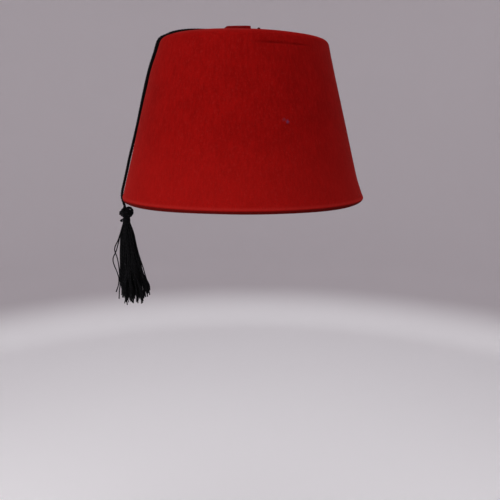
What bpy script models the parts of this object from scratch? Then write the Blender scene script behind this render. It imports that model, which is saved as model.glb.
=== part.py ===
"""Felt fez with a cord and a tassel, in metres, +Z up.

The origin is the middle of the rim's plane. The crown is one hollow felt wall, open below.
The cord starts at a stop knot on the top, runs under a felt tab, over the shoulder and down
the side at -X, and carries the tassel, which hangs below the rim.
"""

import math
from typing import NamedTuple

import bmesh
import bpy
from mathutils import Vector

# Crown: the straight side's radii are taken where it would meet the rim's plane and the top.
FELT_THICKNESS = 0.0024
SIDE_RADIUS_AT_RIM = 0.0925
SIDE_RADIUS_AT_TOP = 0.0630
SIDE_HOLLOW = 0.0004
TOP_HEIGHT = 0.1152
SHOULDER_ROUND = 0.0050
DOME_RISE = 0.0065
LIP_HEIGHT = 0.0100
LIP_FLARE = 0.0010
CROWN_SEGMENTS = 72
SHOULDER_STEPS = 6
LIP_SHARES = (0.0, 0.33, 0.66)
SIDE_SHARES = (0.0, 0.35, 0.65, 0.86, 0.91, 0.935, 0.957, 0.978, 1.0)
DOME_SHARES = (0.85, 0.65, 0.45, 0.25)

# Clearance between pieces that touch, and the felt tab over the cord
SEAT_GAP = 0.0003
TAB_WIDTH = 0.0200
TAB_LENGTH = 0.0300
TAB_THICKNESS = 0.0018
TAB_MIDDLE_X = -0.0037
TAB_LEFT_SLANT = 0.0020
TAB_ARCH_REACH = 0.0085
TAB_ARCH_FLATNESS = 1.8
TAB_COLUMNS = 8
TAB_ROWS = 18

# Cord, with the knot that stops it on the top
CORD_DIAMETER = 0.0020
CORD_POINT_SPACING = 0.0044
CORD_LINE_Y = 0.0
STOP_KNOT_X = 0.0124
STOP_KNOT_WIDTH = 0.0046
STOP_KNOT_HEIGHT = 0.0043
STOP_TAIL_LENGTH = 0.0048

# The cord's route, chosen by hand: along the top, over the shoulder, down the side, past the lip
CORD_ROUTE = (
    (0.0098, 0.0000, 0.1228),
    (-0.0055, -0.0002, 0.1228),
    (-0.0170, -0.0022, 0.1226),
    (-0.0300, -0.0052, 0.1218),
    (-0.0430, -0.0080, 0.1205),
    (-0.0515, -0.0087, 0.1189),
    (-0.0575, -0.0084, 0.1172),
    (-0.0598, -0.0080, 0.1160),
    (-0.0616, -0.0076, 0.1142),
    (-0.0628, -0.0072, 0.1115),
    (-0.0644, -0.0068, 0.1068),
    (-0.0665, -0.0065, 0.1015),
    (-0.0690, -0.0064, 0.0945),
    (-0.0720, -0.0066, 0.0840),
    (-0.0743, -0.0062, 0.0750),
    (-0.0795, -0.0040, 0.0550),
    (-0.0828, -0.0052, 0.0420),
    (-0.0858, -0.0078, 0.0300),
    (-0.0890, -0.0072, 0.0180),
    (-0.0921, -0.0052, 0.0080),
    (-0.0935, -0.0032, 0.0040),
    (-0.0944, -0.0010, 0.0004),
    (-0.0943, -0.0004, -0.0024),
    (-0.0937, 0.0000, -0.0050),
    (-0.0930, 0.0000, -0.0077),
    (-0.0927, 0.0000, -0.0096),
)

# Tassel: a knot, a bound neck and a skirt of locks
TASSEL_KNOT_WIDTH = 0.0108
TASSEL_KNOT_DEPTH = 0.0094
TASSEL_KNOT_HEIGHT = 0.0086
TASSEL_KNOT_SHIFT = 0.0008
NECK_DIAMETER = 0.0056
NECK_HEIGHT = 0.0050
NECK_OVERLAP = 0.0016
SKIRT_LENGTH = 0.0672
SKIRT_WIDTH = 0.0250
SKIRT_DEPTH = 0.0180
SKIRT_LEAN = 0.0056
LOCK_SIDES = 6
LOCK_THICKNESS = 0.0072

FELT_RED = (0.215, 0.006, 0.005, 1.0)
THREAD_BLACK = (0.006, 0.006, 0.007, 1.0)


class Crease(NamedTuple):
    """One soft groove pressed across the felt, in shares of the crown's own sizes."""

    azimuth_deg: float
    reach_deg: float
    height_share: float
    half_width_share: float
    depth_share: float


class SkirtSection(NamedTuple):
    """One level of the tassel's skirt, in shares of its length, width and lean."""

    drop: float
    width: float
    lean: float
    lock: float


class Station(NamedTuple):
    """A point of the crown's outer profile, with the outward direction there."""

    radius: float
    height: float
    out_radial: float
    out_up: float


CREASES = (
    Crease(azimuth_deg=-72.0, reach_deg=19.0, height_share=0.928, half_width_share=0.036, depth_share=0.40),
    Crease(azimuth_deg=-54.0, reach_deg=11.0, height_share=0.922, half_width_share=0.030, depth_share=0.22),
    Crease(azimuth_deg=186.0, reach_deg=18.0, height_share=0.965, half_width_share=0.150, depth_share=0.85),
    Crease(azimuth_deg=181.0, reach_deg=7.5, height_share=0.000, half_width_share=0.050, depth_share=0.25),
)

SKIRT_SECTIONS = (
    SkirtSection(drop=0.00, width=0.20, lean=0.00, lock=0.30),
    SkirtSection(drop=0.10, width=0.41, lean=0.00, lock=0.55),
    SkirtSection(drop=0.21, width=0.54, lean=0.00, lock=0.74),
    SkirtSection(drop=0.32, width=0.68, lean=0.03, lock=0.90),
    SkirtSection(drop=0.46, width=0.76, lean=0.10, lock=1.00),
    SkirtSection(drop=0.62, width=0.85, lean=0.42, lock=1.00),
    SkirtSection(drop=0.78, width=0.96, lean=0.66, lock=0.86),
    SkirtSection(drop=0.88, width=1.00, lean=0.86, lock=0.60),
    SkirtSection(drop=1.00, width=0.74, lean=1.00, lock=0.26),
)

# How far down the skirt each lock reaches, starting at the lock nearest +X
LOCK_REACH = (0.93, 0.97, 0.91, 0.99, 0.94, 1.00, 0.96, 1.00, 0.92, 0.98, 0.95)


def side_radius(height):
    """Radius of the side, very slightly hollow, at a height above the rim."""
    share = height / TOP_HEIGHT
    straight = SIDE_RADIUS_AT_RIM + (SIDE_RADIUS_AT_TOP - SIDE_RADIUS_AT_RIM) * share
    return straight - 4.0 * SIDE_HOLLOW * share * (1.0 - share)


def side_slope(height):
    """Angle by which the side leans inwards at a height above the rim."""
    share = height / TOP_HEIGHT
    narrowing = SIDE_RADIUS_AT_RIM - SIDE_RADIUS_AT_TOP + 4.0 * SIDE_HOLLOW * (1.0 - 2.0 * share)
    return math.atan2(narrowing, TOP_HEIGHT)


shoulder_centre_z = TOP_HEIGHT - SHOULDER_ROUND
shoulder_slope = side_slope(TOP_HEIGHT - SHOULDER_ROUND)
side_end_z = shoulder_centre_z + SHOULDER_ROUND * math.sin(shoulder_slope)
shoulder_centre_r = side_radius(side_end_z) - SHOULDER_ROUND * math.cos(shoulder_slope)
dome_tilt = math.atan2(2.0 * DOME_RISE, shoulder_centre_r)
dome_radius = shoulder_centre_r + SHOULDER_ROUND * math.sin(dome_tilt)
dome_base_z = shoulder_centre_z + SHOULDER_ROUND * math.cos(dome_tilt)


def dome_height(x, y):
    """Height of the crown's top over a point of the plan."""
    share = math.hypot(x, y) / dome_radius
    return dome_base_z + DOME_RISE * (1.0 - share * share)


def clear_scene():
    """Remove every object, so that the script starts from an empty scene."""
    for item in list(bpy.data.objects):
        bpy.data.objects.remove(item, do_unlink=True)


def make_material(name, colour, roughness):
    """Return a plain Principled material."""
    material = bpy.data.materials.new(name)
    material.use_nodes = True
    shader = material.node_tree.nodes["Principled BSDF"]
    shader.inputs["Base Color"].default_value = colour
    shader.inputs["Roughness"].default_value = roughness
    shader.inputs["Metallic"].default_value = 0.0
    return material


def add_object(name, data, material):
    """Link a mesh or a curve to the scene as a named object."""
    item = bpy.data.objects.new(name, data)
    bpy.context.scene.collection.objects.link(item)
    data.materials.append(material)
    return item


def finish_mesh(bm, name):
    """Turn a bmesh into smooth mesh data with its faces pointing out."""
    bmesh.ops.recalc_face_normals(bm, faces=bm.faces[:])
    mesh = bpy.data.meshes.new(name)
    bm.to_mesh(mesh)
    bm.free()
    mesh.shade_smooth()
    mesh.set_sharp_from_angle(angle=math.radians(40.0))
    return mesh


def crown_stations():
    """List the outer profile from the rim up to the edge of the dome's middle."""
    stations = []
    for share in LIP_SHARES:
        height = share * LIP_HEIGHT
        radius = side_radius(height) + LIP_FLARE * (1.0 - share) ** 2
        stations.append(Station(radius, height, 1.0, 0.0))
    for share in SIDE_SHARES:
        height = LIP_HEIGHT + share * (side_end_z - LIP_HEIGHT)
        slope = side_slope(height)
        stations.append(Station(side_radius(height), height, math.cos(slope), math.sin(slope)))
    for step in range(1, SHOULDER_STEPS + 1):
        turn = math.pi / 2 - dome_tilt - shoulder_slope
        angle = shoulder_slope + turn * step / SHOULDER_STEPS
        radial, rise = math.cos(angle), math.sin(angle)
        radius = shoulder_centre_r + SHOULDER_ROUND * radial
        stations.append(Station(radius, shoulder_centre_z + SHOULDER_ROUND * rise, radial, rise))
    for share in DOME_SHARES:
        tilt = math.atan2(2.0 * DOME_RISE * share, dome_radius)
        radius = share * dome_radius
        stations.append(Station(radius, dome_height(radius, 0.0), math.sin(tilt), math.cos(tilt)))
    return stations


def crease_depth(azimuth, height):
    """Depth of all creases together at a place on the felt."""
    depth = 0.0
    for crease in CREASES:
        turn = math.degrees(azimuth) - crease.azimuth_deg
        turn = (turn + 180.0) % 360.0 - 180.0
        across = (height / TOP_HEIGHT - crease.height_share) / crease.half_width_share
        along = turn / crease.reach_deg
        if abs(along) < 1.0 and abs(across) < 1.0:
            window = math.cos(along * math.pi / 2) ** 2 * math.cos(across * math.pi / 2) ** 2
            depth += crease.depth_share * FELT_THICKNESS * window
    return depth


def build_crown(material):
    """Turn the felt wall's closed profile about Z, then press the creases into it."""
    stations = crown_stations()
    outer = [Vector((s.radius, 0.0, s.height)) for s in stations]
    outer.append(Vector((0.0, 0.0, dome_height(0.0, 0.0))))
    inner = []
    for s in stations:
        radius = s.radius - FELT_THICKNESS * s.out_radial
        inner.append(Vector((radius, 0.0, s.height - FELT_THICKNESS * s.out_up)))
    inner.append(outer[-1] - Vector((0.0, 0.0, FELT_THICKNESS)))
    bm = bmesh.new()
    verts = [bm.verts.new(point) for point in inner[::-1] + outer]
    edges = [bm.edges.new(pair) for pair in zip(verts[:-1], verts[1:])]
    bmesh.ops.spin(
        bm,
        geom=verts + edges,
        cent=(0.0, 0.0, 0.0),
        axis=(0.0, 0.0, 1.0),
        angle=math.tau,
        steps=CROWN_SEGMENTS,
        use_merge=True,
    )
    bmesh.ops.remove_doubles(bm, verts=bm.verts[:], dist=FELT_THICKNESS / 100)
    for vert in bm.verts:
        azimuth = math.atan2(vert.co.y, vert.co.x)
        depth = crease_depth(azimuth, vert.co.z)
        vert.co.x -= depth * math.cos(azimuth)
        vert.co.y -= depth * math.sin(azimuth)
    return add_object("crown", finish_mesh(bm, "crown"), material)


def tab_underside(x, y):
    """Height of the tab's lower face: flat on the felt, arched over the cord."""
    away = min(1.0, abs(y - CORD_LINE_Y) / TAB_ARCH_REACH)
    window = (1.0 + math.cos(math.pi * away)) / 2.0
    rise = CORD_DIAMETER + SEAT_GAP
    return dome_height(x, y) + SEAT_GAP + rise * min(1.0, TAB_ARCH_FLATNESS * window)


def build_tab(material):
    """Make the felt strip that holds the cord down on the top."""
    bm = bmesh.new()
    low, high = [], []
    for row in range(TAB_ROWS + 1):
        y = CORD_LINE_Y + TAB_LENGTH * (row / TAB_ROWS - 0.5)
        low_row, high_row = [], []
        for column in range(TAB_COLUMNS + 1):
            share = column / TAB_COLUMNS
            x = TAB_MIDDLE_X + TAB_WIDTH * (share - 0.5)
            z = tab_underside(x, y)
            low_row.append(bm.verts.new((x, y, z)))
            inset = TAB_LEFT_SLANT * (1.0 - share)
            high_row.append(bm.verts.new((x + inset, y, z + TAB_THICKNESS)))
        low.append(low_row)
        high.append(high_row)
    for row in range(TAB_ROWS):
        for column in range(TAB_COLUMNS):
            for sheet in (low, high):
                corners = (sheet[row][column], sheet[row][column + 1])
                bm.faces.new(corners + (sheet[row + 1][column + 1], sheet[row + 1][column]))
    rim_low = low[0] + [r[-1] for r in low[1:]] + low[-1][-2::-1] + [r[0] for r in low[-2:0:-1]]
    rim_high = high[0] + [r[-1] for r in high[1:]] + high[-1][-2::-1] + [r[0] for r in high[-2:0:-1]]
    for index, vert in enumerate(rim_low):
        after = (index + 1) % len(rim_low)
        bm.faces.new((vert, rim_low[after], rim_high[after], rim_high[index]))
    return add_object("top_tab", finish_mesh(bm, "top_tab"), material)


def ball_mesh(name, centre, size):
    """Make an egg-shaped knot of a centre and three full widths."""
    bm = bmesh.new()
    bmesh.ops.create_uvsphere(bm, u_segments=14, v_segments=9, radius=0.5)
    for vert in bm.verts:
        vert.co = Vector(centre) + Vector([c * s for c, s in zip(vert.co, size)])
    return finish_mesh(bm, name)


def rod_mesh(name, start, end, radius):
    """Make a round rod between two points."""
    axis = Vector(end) - Vector(start)
    bm = bmesh.new()
    bmesh.ops.create_cone(
        bm, cap_ends=True, segments=12, radius1=radius, radius2=radius, depth=axis.length
    )
    turn = axis.to_track_quat("Z", "Y")
    middle = (Vector(start) + Vector(end)) / 2
    for vert in bm.verts:
        vert.co = middle + turn @ vert.co
    return finish_mesh(bm, name)


def fuse(body, pieces):
    """Fuse pieces into a body by Boolean unions, and remove the pieces."""
    for piece in pieces:
        union = body.modifiers.new("fuse_" + piece.name, "BOOLEAN")
        union.operation = "UNION"
        union.solver = "EXACT"
        union.object = piece
    view = bpy.context.evaluated_depsgraph_get()
    fused = bpy.data.meshes.new_from_object(body.evaluated_get(view))
    body.modifiers.clear()
    body.data = fused
    for piece in pieces:
        bpy.data.objects.remove(piece, do_unlink=True)
    return body


def build_stop_knot(material):
    """Make the knot that stops the cord on the top, with its short tail."""
    floor = dome_height(STOP_KNOT_X, CORD_LINE_Y) + SEAT_GAP
    centre = Vector((STOP_KNOT_X, CORD_LINE_Y, floor + STOP_KNOT_HEIGHT / 2))
    size = (STOP_KNOT_WIDTH, STOP_KNOT_WIDTH, STOP_KNOT_HEIGHT)
    knot = add_object("cord_stop_knot", ball_mesh("cord_stop_knot", centre, size), material)
    tail_end = centre + Vector((STOP_TAIL_LENGTH, 0.0012, -0.0006))
    tail = add_object("tail", rod_mesh("tail", centre, tail_end, CORD_DIAMETER / 2), material)
    return fuse(knot, [tail])


def smooth_points(route, spacing):
    """Read evenly spaced points from a smooth curve through the route's points."""
    points = [Vector(p) for p in route]
    points = [2 * points[0] - points[1]] + points + [2 * points[-1] - points[-2]]
    fine = []
    steps = 24
    for i in range(1, len(points) - 2):
        a, b, c, d = points[i - 1:i + 3]
        for step in range(steps):
            t = step / steps
            fine.append(0.5 * (2 * b + (c - a) * t + (2 * a - 5 * b + 4 * c - d) * t ** 2
                               + (3 * b - a - 3 * c + d) * t ** 3))
    fine.append(points[-2])
    total = sum((q - p).length for p, q in zip(fine, fine[1:]))
    count = max(2, round(total / spacing))
    even = [fine[0]]
    travelled = 0.0
    for p, q in zip(fine, fine[1:]):
        travelled += (q - p).length
        if travelled >= total * len(even) / count and len(even) < count:
            even.append(q)
    return even + [fine[-1]]


def build_cord(material):
    """Make the cord as a bevelled curve along its route."""
    points = smooth_points(CORD_ROUTE, CORD_POINT_SPACING)
    curve = bpy.data.curves.new("tassel_cord", "CURVE")
    curve.dimensions = "3D"
    curve.bevel_depth = CORD_DIAMETER / 2
    curve.bevel_resolution = 2
    curve.use_fill_caps = True
    spline = curve.splines.new("POLY")
    spline.points.add(len(points) - 1)
    for target, point in zip(spline.points, points):
        target.co = (*point, 1.0)
    return add_object("tassel_cord", curve, material)


def skirt_section(share):
    """Read the skirt's form at a share of its length, straight between the table's rows."""
    for above, below in zip(SKIRT_SECTIONS, SKIRT_SECTIONS[1:]):
        if share <= below.drop:
            mix = (share - above.drop) / (below.drop - above.drop)
            return SkirtSection(*[a + (b - a) * mix for a, b in zip(above, below)])
    return SKIRT_SECTIONS[-1]


def lock_mesh(name, top, bearing, reach, spread):
    """Make one lock of the skirt: a tapering strip that hangs from the neck."""
    rings = 8
    bm = bmesh.new()
    loops = []
    for ring in range(rings):
        share = reach * ring / (rings - 1)
        section = skirt_section(min(1.0, share))
        taper = 1.0 if ring < rings - 1 else 0.45
        thick = LOCK_THICKNESS / 2 * section.lock * taper
        away_x = max(0.0, SKIRT_WIDTH / 2 * section.width - thick) * spread
        away_y = max(0.0, SKIRT_DEPTH / 2 * section.width - thick) * spread
        centre = top + Vector((
            away_x * math.cos(bearing) + SKIRT_LEAN * section.lean,
            away_y * math.sin(bearing),
            -share * SKIRT_LENGTH,
        ))
        loop = []
        for side in range(LOCK_SIDES):
            turn = bearing + math.tau * side / LOCK_SIDES
            loop.append(bm.verts.new(centre + thick * Vector((math.cos(turn), math.sin(turn), 0.0))))
        loops.append(loop)
    for upper, lower in zip(loops, loops[1:]):
        for side in range(LOCK_SIDES):
            after = (side + 1) % LOCK_SIDES
            bm.faces.new((upper[side], upper[after], lower[after], lower[side]))
    bm.faces.new(loops[0])
    bm.faces.new(loops[-1][::-1])
    return finish_mesh(bm, name)


def build_tassel(material):
    """Fuse the tassel's knot, its bound neck and the locks of its skirt into one solid."""
    cord_end = Vector(CORD_ROUTE[-1])
    knot_top = cord_end.z - SEAT_GAP
    centre = Vector((cord_end.x + TASSEL_KNOT_SHIFT, cord_end.y, knot_top - TASSEL_KNOT_HEIGHT / 2))
    size = (TASSEL_KNOT_WIDTH, TASSEL_KNOT_DEPTH, TASSEL_KNOT_HEIGHT)
    tassel = add_object("tassel", ball_mesh("tassel", centre, size), material)
    neck_top = centre - Vector((0.0, 0.0, TASSEL_KNOT_HEIGHT / 2 - NECK_OVERLAP))
    neck_end = neck_top - Vector((0.0, 0.0, NECK_HEIGHT))
    neck = add_object("neck", rod_mesh("neck", neck_top, neck_end, NECK_DIAMETER / 2), material)
    skirt_top = neck_end + Vector((0.0, 0.0, NECK_OVERLAP))
    core = add_object("core", lock_mesh("core", skirt_top, 0.0, 0.9, 0.0), material)
    locks = []
    for index, reach in enumerate(LOCK_REACH):
        bearing = math.tau * (index + 0.25) / len(LOCK_REACH)
        name = "lock_%02d" % index
        locks.append(add_object(name, lock_mesh(name, skirt_top, bearing, reach, 1.0), material))
    return fuse(tassel, [neck, core] + locks)


def main():
    """Build the fez."""
    clear_scene()
    felt = make_material("felt_red", FELT_RED, 0.95)
    thread = make_material("thread_black", THREAD_BLACK, 0.75)
    build_crown(felt)
    build_tab(felt)
    build_stop_knot(thread)
    build_cord(thread)
    build_tassel(thread)


main()
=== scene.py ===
"""Looks of a felt fez: its finishes, cord, tassel and studio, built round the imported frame.

Everything is in metres in the frame's own axes: +Z up, the origin in the middle of the rim's
plane, -Y towards the photograph's camera and -X towards the side where the tassel hangs.
"""

from __future__ import annotations

import logging
import math
from contextlib import contextmanager
from dataclasses import dataclass
from enum import Enum
from typing import Iterator, NamedTuple, Sequence

import bpy
import numpy as np
from mathutils import Matrix, Vector

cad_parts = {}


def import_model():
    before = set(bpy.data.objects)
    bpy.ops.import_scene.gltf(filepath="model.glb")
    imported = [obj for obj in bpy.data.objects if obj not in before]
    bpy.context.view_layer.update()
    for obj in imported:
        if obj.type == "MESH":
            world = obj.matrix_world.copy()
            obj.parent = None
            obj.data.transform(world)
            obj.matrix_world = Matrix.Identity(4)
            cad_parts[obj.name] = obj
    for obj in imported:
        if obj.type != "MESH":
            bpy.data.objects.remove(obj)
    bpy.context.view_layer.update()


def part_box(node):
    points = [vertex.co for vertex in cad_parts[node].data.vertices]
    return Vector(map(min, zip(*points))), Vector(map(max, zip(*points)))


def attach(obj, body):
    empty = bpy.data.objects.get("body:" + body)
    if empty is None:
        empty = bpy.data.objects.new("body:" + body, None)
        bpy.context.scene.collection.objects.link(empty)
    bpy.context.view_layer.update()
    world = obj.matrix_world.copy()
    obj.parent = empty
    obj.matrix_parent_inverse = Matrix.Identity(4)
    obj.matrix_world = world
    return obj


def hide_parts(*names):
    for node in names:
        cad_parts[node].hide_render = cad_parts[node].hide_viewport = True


LOG = logging.getLogger("fez")
BODY = "root"
# Point layer with the share of painted shade in the narrow creases.
CREASE_SHADE_LAYER = "crease"
SEAT_GAP = 0.0003
PLY_SHARE = 0.53
FLOOR_HEIGHT = -0.467
MM = 0.001
CURVE_STEPS = 24
NOISE_LOW = 0.3
NOISE_HIGH = 0.7

Line = np.ndarray
Piece = bpy.types.Object
Material = bpy.types.Material
Socket = bpy.types.NodeSocket
Place = tuple[float, float, float]
Colour = tuple[float, float, float, float]

# The cord's route: along the top, over the shoulder, down the side, past the lip
CORD_ROUTE = (
    (0.0098, 0.0000, 0.1228),
    (-0.0055, -0.0002, 0.1228),
    (-0.0170, -0.0022, 0.1226),
    (-0.0300, -0.0052, 0.1218),
    (-0.0430, -0.0080, 0.1205),
    (-0.0515, -0.0087, 0.1189),
    (-0.0575, -0.0084, 0.1172),
    (-0.0598, -0.0080, 0.1160),
    (-0.0616, -0.0076, 0.1142),
    (-0.0628, -0.0072, 0.1115),
    (-0.0644, -0.0068, 0.1068),
    (-0.0665, -0.0065, 0.1015),
    (-0.0690, -0.0064, 0.0945),
    (-0.0720, -0.0066, 0.0840),
    (-0.0743, -0.0062, 0.0750),
    (-0.0795, -0.0040, 0.0550),
    (-0.0828, -0.0052, 0.0420),
    (-0.0858, -0.0078, 0.0300),
    (-0.0890, -0.0072, 0.0180),
    (-0.0921, -0.0052, 0.0080),
    (-0.0935, -0.0032, 0.0040),
    (-0.0944, -0.0010, 0.0004),
    (-0.0943, -0.0004, -0.0024),
    (-0.0937, 0.0000, -0.0050),
    (-0.0930, 0.0000, -0.0077),
    (-0.0927, 0.0000, -0.0096),
)

# The same cord inside the tassel, through its knot and its bound neck
CORD_IN_TASSEL = (
    (-0.0924, 0.0000, -0.0118),
    (-0.0920, 0.0000, -0.0150),
    (-0.0919, 0.0000, -0.0200),
    (-0.0918, 0.0000, -0.0262),
    (-0.0915, 0.0000, -0.0335),
)


class Slot(Enum):
    """The record's material slot names; nothing in this script uses them."""

    FELT = "felt_red"
    THREAD = "thread_black"


class Crease(NamedTuple):
    """One soft groove pressed across the felt, in shares of the crown's own sizes."""

    azimuth_deg: float
    reach_deg: float
    height_share: float
    half_width_share: float
    depth_share: float


class Sag(NamedTuple):
    """A stretch of the rim that hangs a little lower than the rest."""

    azimuth_deg: float
    reach_deg: float
    drop: float


class SkirtSection(NamedTuple):
    """One level of the tassel's skirt, in shares of its length, width and lean."""

    drop: float
    width: float
    lean: float


class Stray(NamedTuple):
    """A thread that hangs apart from the skirt: its width in y, its threads and its x, z route."""

    y: float
    threads: int
    route_mm: tuple[tuple[float, float], ...]


class Tuft(NamedTuple):
    """A bunch of thread ends: its place under the neck, its reach and its number of threads."""

    x: float
    y: float
    spread: float
    reach: float
    threads: int


class Strand(NamedTuple):
    """One strand of the tassel's knot: its name, its width, its twist and its route."""

    name: str
    width: float
    pitch: float
    route_mm: tuple[Place, ...]


def choose(*items: Piece) -> None:
    """Select only these objects, with the first one active.

    Args:
        items: The objects to select, or none to clear the selection.
    """
    for item in list(bpy.context.selected_objects):
        item.select_set(False)
    for item in items:
        item.select_set(True)
    bpy.context.view_layer.objects.active = items[0] if items else None


@contextmanager
def editing(item: Piece) -> Iterator[None]:
    """Hold an object in edit mode.

    Args:
        item: The mesh object to edit.
    """
    choose(item)
    bpy.ops.object.mode_set(mode="EDIT")
    yield
    bpy.ops.object.mode_set(mode="OBJECT")


def read_points(item: Piece) -> np.ndarray:
    """Read a mesh's points.

    Args:
        item: The mesh object.

    Returns:
        One row of x, y and z for each vertex.
    """
    points = np.zeros(len(item.data.vertices) * 3)
    item.data.vertices.foreach_get("co", points)
    return points.reshape(-1, 3)


def write_points(item: Piece, points: np.ndarray) -> None:
    """Put a mesh's points in new places.

    Args:
        item: The mesh object.
        points: One row of x, y and z for each vertex.
    """
    item.data.vertices.foreach_set("co", points.ravel())
    item.data.update()


def edge_ends(item: Piece) -> np.ndarray:
    """Read the two vertices of each of a mesh's edges.

    Args:
        item: The mesh object.

    Returns:
        One row of two vertex numbers for each edge.
    """
    ends = np.zeros(len(item.data.edges) * 2, int)
    item.data.edges.foreach_get("vertices", ends)
    return ends.reshape(-1, 2)


def select_edges(item: Piece, wanted: np.ndarray) -> None:
    """Select some edges of a mesh in object mode, ready for edit mode.

    Args:
        item: The mesh object.
        wanted: One truth value for each edge.
    """
    bpy.context.tool_settings.mesh_select_mode = (False, True, False)
    mesh = item.data
    points = np.zeros(len(mesh.vertices), bool)
    points[edge_ends(item)[wanted].ravel()] = True
    mesh.polygons.foreach_set("select", np.zeros(len(mesh.polygons), bool))
    mesh.edges.foreach_set("select", wanted)
    mesh.vertices.foreach_set("select", points)


def first_ring(name: str, sides: int, fill: str, ring: tuple[float, float]) -> Piece:
    """Add the filled circle that a turned shape starts from.

    Args:
        name: The new object's name.
        sides: The number of points round the circle.
        fill: How the circle is filled.
        ring: Its radius and its height.

    Returns:
        The circle.
    """
    choose()
    bpy.ops.mesh.primitive_circle_add(
        vertices=sides, radius=ring[0], fill_type=fill, location=(0.0, 0.0, ring[1])
    )
    item = bpy.context.view_layer.objects.active
    bpy.ops.object.transform_apply(location=True, rotation=True, scale=True)
    item.name = name
    return item


def raise_rings(profile: Sequence[tuple[float, float]]) -> None:
    """Extrude the selected ring through a profile in edit mode, one ring at a time.

    Args:
        profile: The radius and the height of each ring, from the selected one on.
    """
    for (radius, height), (wider, higher) in zip(profile, profile[1:]):
        bpy.ops.mesh.extrude_edges_move(
            TRANSFORM_OT_translate={"value": (0.0, 0.0, higher - height)}
        )
        grow = wider / radius
        bpy.ops.transform.resize(value=(grow, grow, 1.0), center_override=(0.0, 0.0, higher))


def dress(item: Piece, material: Material, node: str = "") -> Piece:
    """Give a finished piece its material and its body, and hide the CAD node that it stands for.

    Args:
        item: The finished piece.
        material: Its finish.
        node: The CAD node that it replaces, if it replaces one.

    Returns:
        The same piece.
    """
    item.data.materials.append(material)
    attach(item, BODY)
    if node:
        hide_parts(node)
    return item


def ramp(values: np.ndarray, start: float, end: float) -> np.ndarray:
    """Give each value's share of the way from start to end, held between 0 and 1."""
    return np.clip((values - start) / (end - start), 0.0, 1.0)


def eased(share: np.ndarray) -> np.ndarray:
    """Soften both ends of a share that runs from 0 to 1."""
    return share * share * (3.0 - 2.0 * share)


def window(away: np.ndarray) -> np.ndarray:
    """Give a smooth share: 1 where away is 0, and 0 from 1 on to either side."""
    return np.cos(np.clip(away, -1.0, 1.0) * math.pi / 2) ** 2


def apply_modifiers(item: Piece) -> None:
    """Apply every modifier of an object, in order.

    Args:
        item: The mesh object.
    """
    choose(item)
    for modifier in list(item.modifiers):
        bpy.ops.object.modifier_apply(modifier=modifier.name)


def join(name: str, items: Sequence[Piece]) -> Piece:
    """Join objects into one.

    Args:
        name: The name of the joined object.
        items: The objects to join.

    Returns:
        The joined object.
    """
    choose(*items)
    bpy.ops.object.join()
    joined = bpy.context.view_layer.objects.active
    joined.name = name
    joined.data.name = name
    return joined


def smooth_line(route: Sequence[Sequence[float]], spacing: float) -> Line:
    """Read evenly spaced points from a smooth curve through the route's points.

    Args:
        route: The points that the curve passes through.
        spacing: About how far apart the points returned are.

    Returns:
        One row of x, y and z for each point.
    """
    ends = np.array(route, float)
    ends = np.vstack([2 * ends[0] - ends[1], ends, 2 * ends[-1] - ends[-2]])
    share = np.linspace(0.0, 1.0, CURVE_STEPS, endpoint=False)[:, None]
    runs = []
    for a, b, c, d in zip(ends, ends[1:], ends[2:], ends[3:]):
        square = (2 * a - 5 * b + 4 * c - d) * share**2
        cube = (3 * b - a - 3 * c + d) * share**3
        runs.append(0.5 * (2 * b + (c - a) * share + square + cube))
    return even_line(np.vstack(runs + [ends[-2:-1]]), spacing=spacing)


def even_line(line: Line, spacing: float = 0.0, count: int = 0) -> Line:
    """Space a line's points evenly.

    Args:
        line: The points of the line.
        spacing: About how far apart the new points are, where count isn't given.
        count: How many points to return.

    Returns:
        The points, evenly spaced.
    """
    steps = np.linalg.norm(np.diff(line, axis=0), axis=1)
    along = np.concatenate([[0.0], np.cumsum(steps)])
    total = count or max(3, round(along[-1] / spacing) + 1)
    places = np.linspace(0.0, along[-1], total)
    return np.stack([np.interp(places, along, line[:, axis]) for axis in range(3)], axis=1)


def line_length(line: Line) -> float:
    """Measure a line along its points."""
    return float(np.linalg.norm(np.diff(line, axis=0), axis=1).sum())


def carried_frames(line: Line) -> tuple[np.ndarray, np.ndarray]:
    """Carry two directions along a line without turning them about it.

    Args:
        line: The points of the line.

    Returns:
        The direction across and the direction aside, one row for each point.
    """
    ahead = np.gradient(line, axis=0)
    ahead /= np.linalg.norm(ahead, axis=1)[:, None]
    start = np.eye(3)[np.argmin(np.abs(ahead[0]))]
    across = np.zeros_like(line)
    held = start
    for index, direction in enumerate(ahead):
        held = held - direction * held.dot(direction)
        held = held / np.linalg.norm(held)
        across[index] = held
    return across, np.cross(ahead, across)


def spiral_line(line: Line, radius: float | np.ndarray, pitch: float, phase: float) -> Line:
    """Wind a line round another one.

    Args:
        line: The middle line, evenly spaced.
        radius: How far the new line is from the middle one, or a column with each point's.
        pitch: The length of one turn.
        phase: The angle at which the new line starts.

    Returns:
        The wound line, with as many points.
    """
    across, aside = carried_frames(line)
    turn = phase + math.tau * np.linspace(0.0, line_length(line) / pitch, len(line))
    return line + radius * (np.cos(turn)[:, None] * across + np.sin(turn)[:, None] * aside)


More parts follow.
